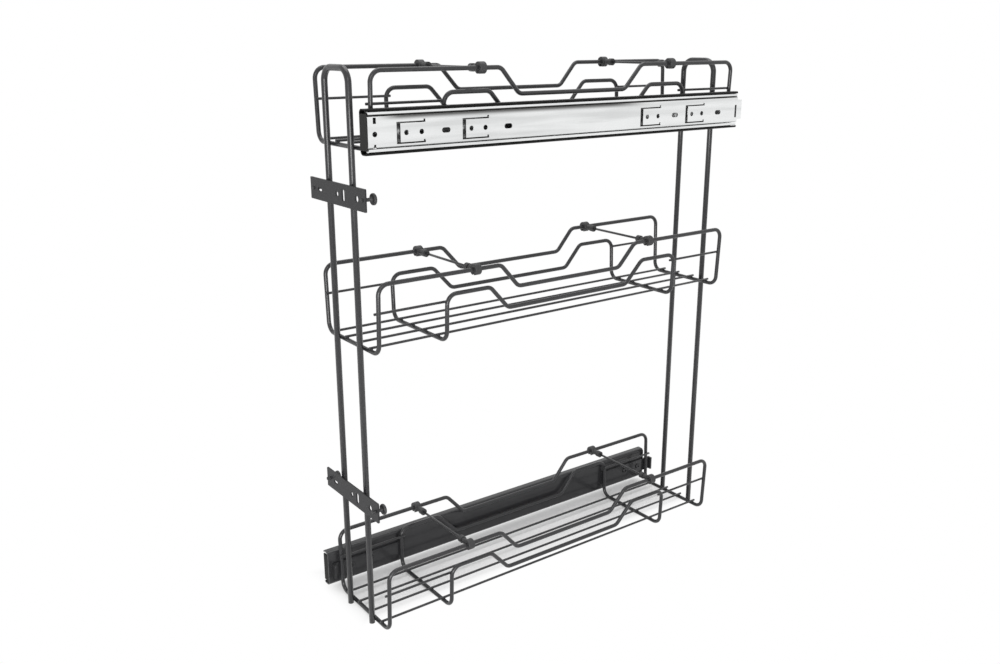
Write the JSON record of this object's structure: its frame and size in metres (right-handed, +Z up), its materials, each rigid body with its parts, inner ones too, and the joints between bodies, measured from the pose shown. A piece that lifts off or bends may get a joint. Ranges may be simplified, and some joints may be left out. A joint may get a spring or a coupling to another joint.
{
  "type": "pull-out spice rack",
  "caption": "Narrow pull-out wire rack with stacked baskets, sliding dividers, door plates and ball-bearing side slides.",
  "frame": {"origin": "on the floor, under the middle of the closed rack", "axes": "+X towards the side of the upper slide, -Y towards the door, +Z up"},
  "size_m": [0.1546, 0.5566, 0.6445],
  "materials": {
    "black": "satin powder coat",
    "zinc": "bright zinc plate",
    "steel": "polished",
    "plastic": "moulded",
    "rubber": "matt",
    "cage": "plain strip"
  },
  "bodies": {
    "cabinet_side": {"upper_cabinet_rail": "zinc", "lower_cabinet_rail": "zinc"},
    "rack": {"bottom_outer_loop": "black", "bottom_inner_loop": "black", "bottom_floor_wires": "black", "bottom_side_wires": "black", "middle_outer_loop": "black", "middle_inner_loop": "black", "middle_floor_wires": "black", "middle_side_wires": "black", "top_outer_loop": "black", "top_inner_loop": "black", "top_floor_wires": "black", "top_side_wires": "black", "front_upright_frame": "black", "rear_upright_frame": "black", "upper_door_plate": "black", "upper_door_studs": "plastic", "lower_door_plate": "black", "lower_door_studs": "plastic", "upper_rack_rail": "black", "upper_rail_bumper": "rubber", "upper_front_strip": "black", "upper_rear_strip": "black", "upper_strip_screws": "black", "lower_rack_rail": "black", "lower_rail_bumper": "rubber", "lower_front_strip": "black", "lower_rear_strip": "black", "lower_strip_screws": "black"},
    "upper_middle": {"upper_middle_rail": "zinc"},
    "upper_outer_cage": {"upper_outer_ball_cage": "cage", "upper_outer_balls": "steel"},
    "upper_inner_cage": {"upper_inner_ball_cage": "cage", "upper_inner_balls": "steel"},
    "lower_middle": {"lower_middle_rail": "zinc"},
    "lower_outer_cage": {"lower_outer_ball_cage": "cage", "lower_outer_balls": "steel"},
    "lower_inner_cage": {"lower_inner_ball_cage": "cage", "lower_inner_balls": "steel"},
    "bottom_front_divider": {"bottom_front_divider_rod": "black", "bottom_front_divider_clips": "plastic"},
    "bottom_rear_divider": {"bottom_rear_divider_rod": "black", "bottom_rear_divider_clips": "plastic"},
    "middle_front_divider": {"middle_front_divider_rod": "black", "middle_front_divider_clips": "plastic"},
    "middle_rear_divider": {"middle_rear_divider_rod": "black", "middle_rear_divider_clips": "plastic"},
    "top_front_divider": {"top_front_divider_rod": "black", "top_front_divider_clips": "plastic"},
    "top_rear_divider": {"top_rear_divider_rod": "black", "top_rear_divider_clips": "plastic"}
  },
  "joints": [
    {"name": "rack_pull", "type": "slide", "parent": "cabinet_side", "child": "rack", "axis": [0, -1, 0], "range_m": [0, 0.53]},
    {"name": "upper_middle_run", "type": "slide", "parent": "cabinet_side", "child": "upper_middle", "axis": [0, -1, 0], "range_m": [0, 0.265]},
    {"name": "upper_outer_cage_run", "type": "slide", "parent": "cabinet_side", "child": "upper_outer_cage", "axis": [0, -1, 0], "range_m": [0, 0.3975]},
    {"name": "upper_inner_cage_run", "type": "slide", "parent": "cabinet_side", "child": "upper_inner_cage", "axis": [0, -1, 0], "range_m": [0, 0.1325]},
    {"name": "lower_middle_run", "type": "slide", "parent": "cabinet_side", "child": "lower_middle", "axis": [0, -1, 0], "range_m": [0, 0.265]},
    {"name": "lower_outer_cage_run", "type": "slide", "parent": "cabinet_side", "child": "lower_outer_cage", "axis": [0, -1, 0], "range_m": [0, 0.3975]},
    {"name": "lower_inner_cage_run", "type": "slide", "parent": "cabinet_side", "child": "lower_inner_cage", "axis": [0, -1, 0], "range_m": [0, 0.1325]},
    {"name": "bottom_front_divider_slide", "type": "slide", "parent": "rack", "child": "bottom_front_divider", "axis": [0, 1, 0], "range_m": [-0.0942, 0.0382]},
    {"name": "bottom_rear_divider_slide", "type": "slide", "parent": "rack", "child": "bottom_rear_divider", "axis": [0, 1, 0], "range_m": [-0.0384, 0.094]},
    {"name": "middle_front_divider_slide", "type": "slide", "parent": "rack", "child": "middle_front_divider", "axis": [0, 1, 0], "range_m": [-0.1073, 0.0251]},
    {"name": "middle_rear_divider_slide", "type": "slide", "parent": "rack", "child": "middle_rear_divider", "axis": [0, 1, 0], "range_m": [-0.0138, 0.1186]},
    {"name": "top_front_divider_slide", "type": "slide", "parent": "rack", "child": "top_front_divider", "axis": [0, 1, 0], "range_m": [-0.1158, 0.0166]},
    {"name": "top_rear_divider_slide", "type": "slide", "parent": "rack", "child": "top_rear_divider", "axis": [0, 1, 0], "range_m": [-0.0387, 0.0937]}
  ],
  "couplings": [
    {"joint": "upper_middle_run", "follows": "rack_pull", "ratio": 0.5},
    {"joint": "upper_outer_cage_run", "follows": "rack_pull", "ratio": 0.75},
    {"joint": "upper_inner_cage_run", "follows": "rack_pull", "ratio": 0.25},
    {"joint": "lower_middle_run", "follows": "rack_pull", "ratio": 0.5},
    {"joint": "lower_outer_cage_run", "follows": "rack_pull", "ratio": 0.75},
    {"joint": "lower_inner_cage_run", "follows": "rack_pull", "ratio": 0.25}
  ]
}
